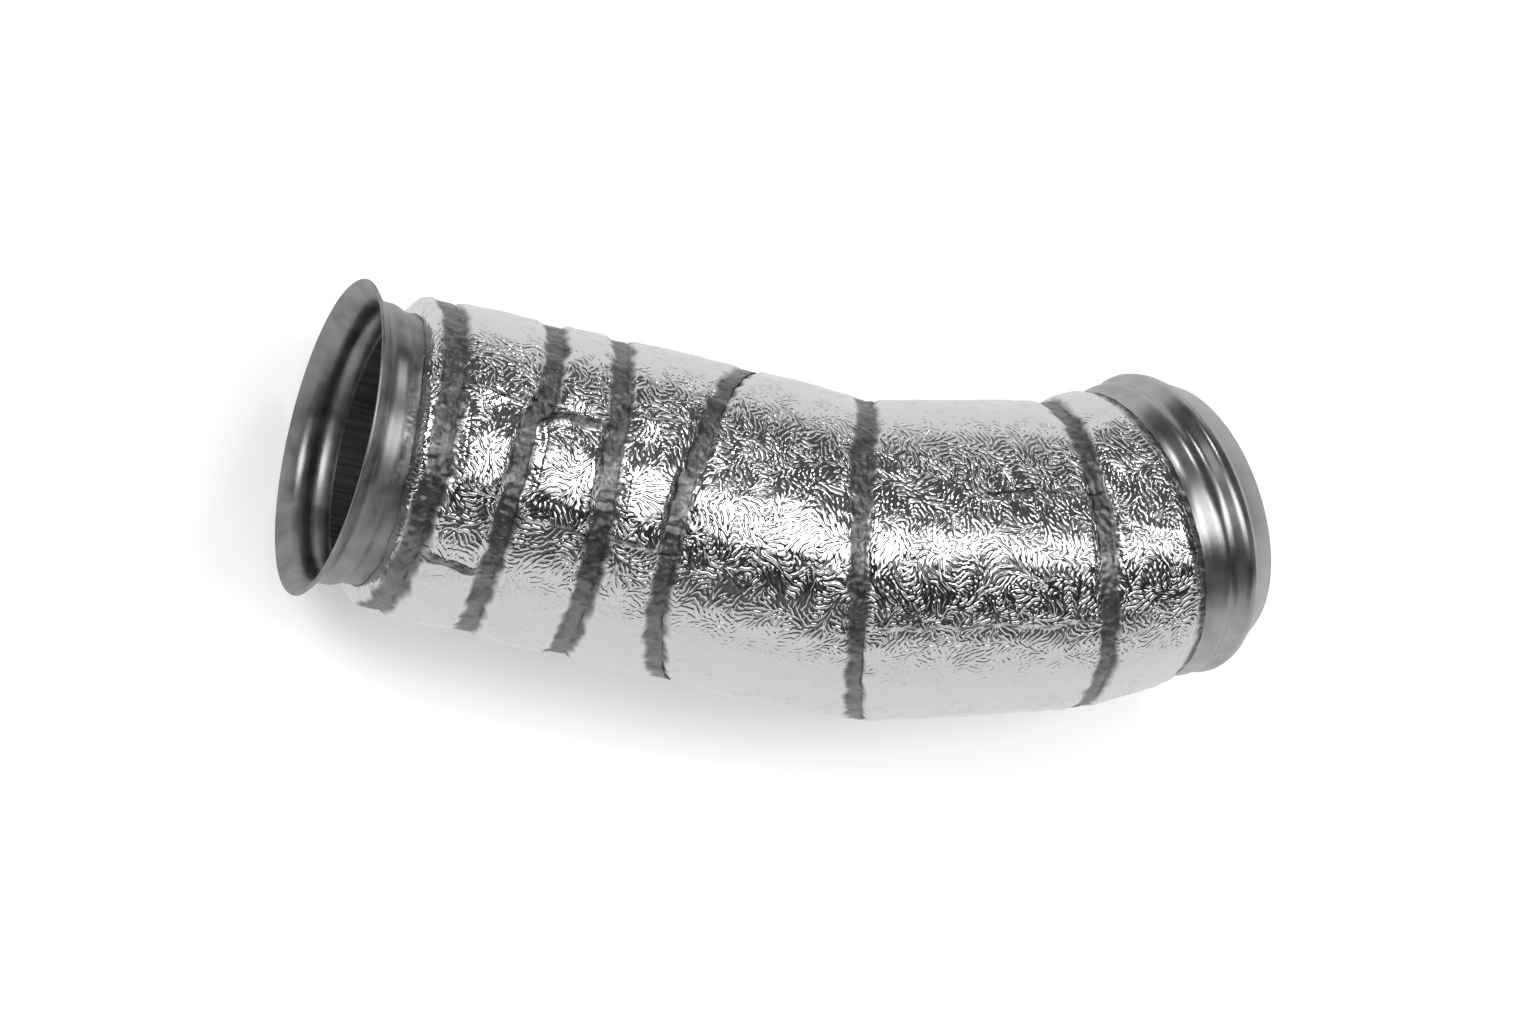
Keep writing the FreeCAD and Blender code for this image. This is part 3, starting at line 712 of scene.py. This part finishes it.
# Studio: white floor that keeps the shadow, soft boxes above and beside the pipe, and the photograph's camera
floorHeight = cadBox[0][2]
deselectAll()
bpy.ops.mesh.primitive_plane_add(size=8, location=(0.2, 0, floorHeight))
floor = bpy.context.object
floor.name = "studioFloor"
floorPaint, tree = newMaterial("matt white floor")
rays = addNode(tree, "ShaderNodeLightPath").outputs
paint = addNode(tree, "ShaderNodeBsdfDiffuse", {"Color": hexColour("#f2f2f2")}).outputs[0]
glow = calculate(tree, "MULTIPLY", rays["Is Camera Ray"], 0.2)
light = addNode(tree, "ShaderNodeEmission", {"Strength": glow}).outputs[0]
both = addNode(tree, "ShaderNodeAddShader", {0: paint, 1: light}).outputs[0]
# in reflections the floor stays pale, and only a little of the shadow shows
mirrored = addNode(tree, "ShaderNodeEmission", {"Strength": 0.83}).outputs[0]
paler = calculate(tree, "MULTIPLY", rays["Is Glossy Ray"], 0.85)
surface = addNode(tree, "ShaderNodeMixShader", {0: paler, 1: both, 2: mirrored}).outputs[0]
addNode(tree, "ShaderNodeOutputMaterial", {"Surface": surface})
floor.data.materials.append(floorPaint)

world = bpy.data.worlds.new("studio")
bpy.context.scene.world = world
world.use_nodes = True
tree = world.node_tree
tree.nodes.clear()
# place and grey, round the pipe from the far horizon over the top to the near one: pale, dark flag, ceiling,
# dark flag, pale
studioWalls = [
    (0.0, 0.5), (0.03, 0.25), (0.08, 0.09), (0.28, 0.07), (0.4, 0.14),
    (0.6, 0.02), (0.68, 0.02), (0.75, 0.1), (0.85, 0.14), (0.9, 0.85),
]
rays = addNode(tree, "ShaderNodeLightPath").outputs
ahead = addNode(tree, "ShaderNodeTexCoord").outputs["Generated"]
parts = addNode(tree, "ShaderNodeSeparateXYZ", {"Vector": ahead}).outputs
share = calculate(tree, "DIVIDE", calculate(tree, "ARCTAN2", parts["Z"], parts["Y"]), math.pi)
walls = addNode(tree, "ShaderNodeValToRGB", {"Fac": share})
while len(walls.color_ramp.elements) < len(studioWalls):
    walls.color_ramp.elements.new(0.5)
for stop, (place, grey) in zip(walls.color_ramp.elements, studioWalls):
    stop.position = place
    stop.color = (grey, grey, grey, 1)
level = blend(tree, rays["Is Diffuse Ray"], walls.outputs["Color"], (0.65, 0.65, 0.65, 1))
level = blend(tree, rays["Is Camera Ray"], level, (1, 1, 1, 1))
sky = addNode(tree, "ShaderNodeBackground", {"Color": level, "Strength": 1.0})
addNode(tree, "ShaderNodeOutputWorld", {"Surface": sky.outputs[0]})


def softBox(name, place, aim, size, power):
    bpy.ops.object.light_add(type="AREA", location=place)
    lamp = bpy.context.object
    lamp.name = name
    lamp.data.shape = "RECTANGLE"
    lamp.data.size, lamp.data.size_y = size
    lamp.data.energy = power
    lamp.rotation_mode = "QUATERNION"
    lamp.rotation_quaternion = (Vector(aim) - Vector(place)).to_track_quat("-Z", "Y")


# place, aim and size in m, power in W
softBox("topBox", (0.42, 0.02, 1.45), (0.2, 0.0, 0.0), (0.84, 0.9), 5.7)
softBox("rightBox", (1.05, 0.14, 1.40), (0.35, 0.05, 0.0), (0.48, 1.15), 4.4)
softBox("leftBox", (-1.15, 0.36, 1.05), (0.1, 0.0, 0.0), (0.65, 0.75), 11)
softBox("backBox", (0.35, 1.15, 1.05), (0.2, 0.0, 0.0), (0.25, 0.25), 2.5)

# fitted to the photograph
eye = Vector((-437.0, -310.4, 1620.3)) * mm
right = Vector((0.90642, 0.15469, 0.39303))
up = Vector((-0.21290, 0.97099, 0.10883))
away = Vector((-0.36479, -0.18232, 0.91306))
bpy.ops.object.camera_add(location=eye)
camera = bpy.context.object
camera.data.lens = 85
camera.data.sensor_width = 36
camera.data.sensor_fit = "HORIZONTAL"
camera.data.clip_start, camera.data.clip_end = 0.01, 20
camera.rotation_mode = "QUATERNION"
camera.rotation_quaternion = Matrix((right, up, away)).transposed().to_quaternion()
bpy.context.scene.camera = camera
bpy.context.scene.view_settings.view_transform = "Standard"
print("studio set up")

print("scene ready")
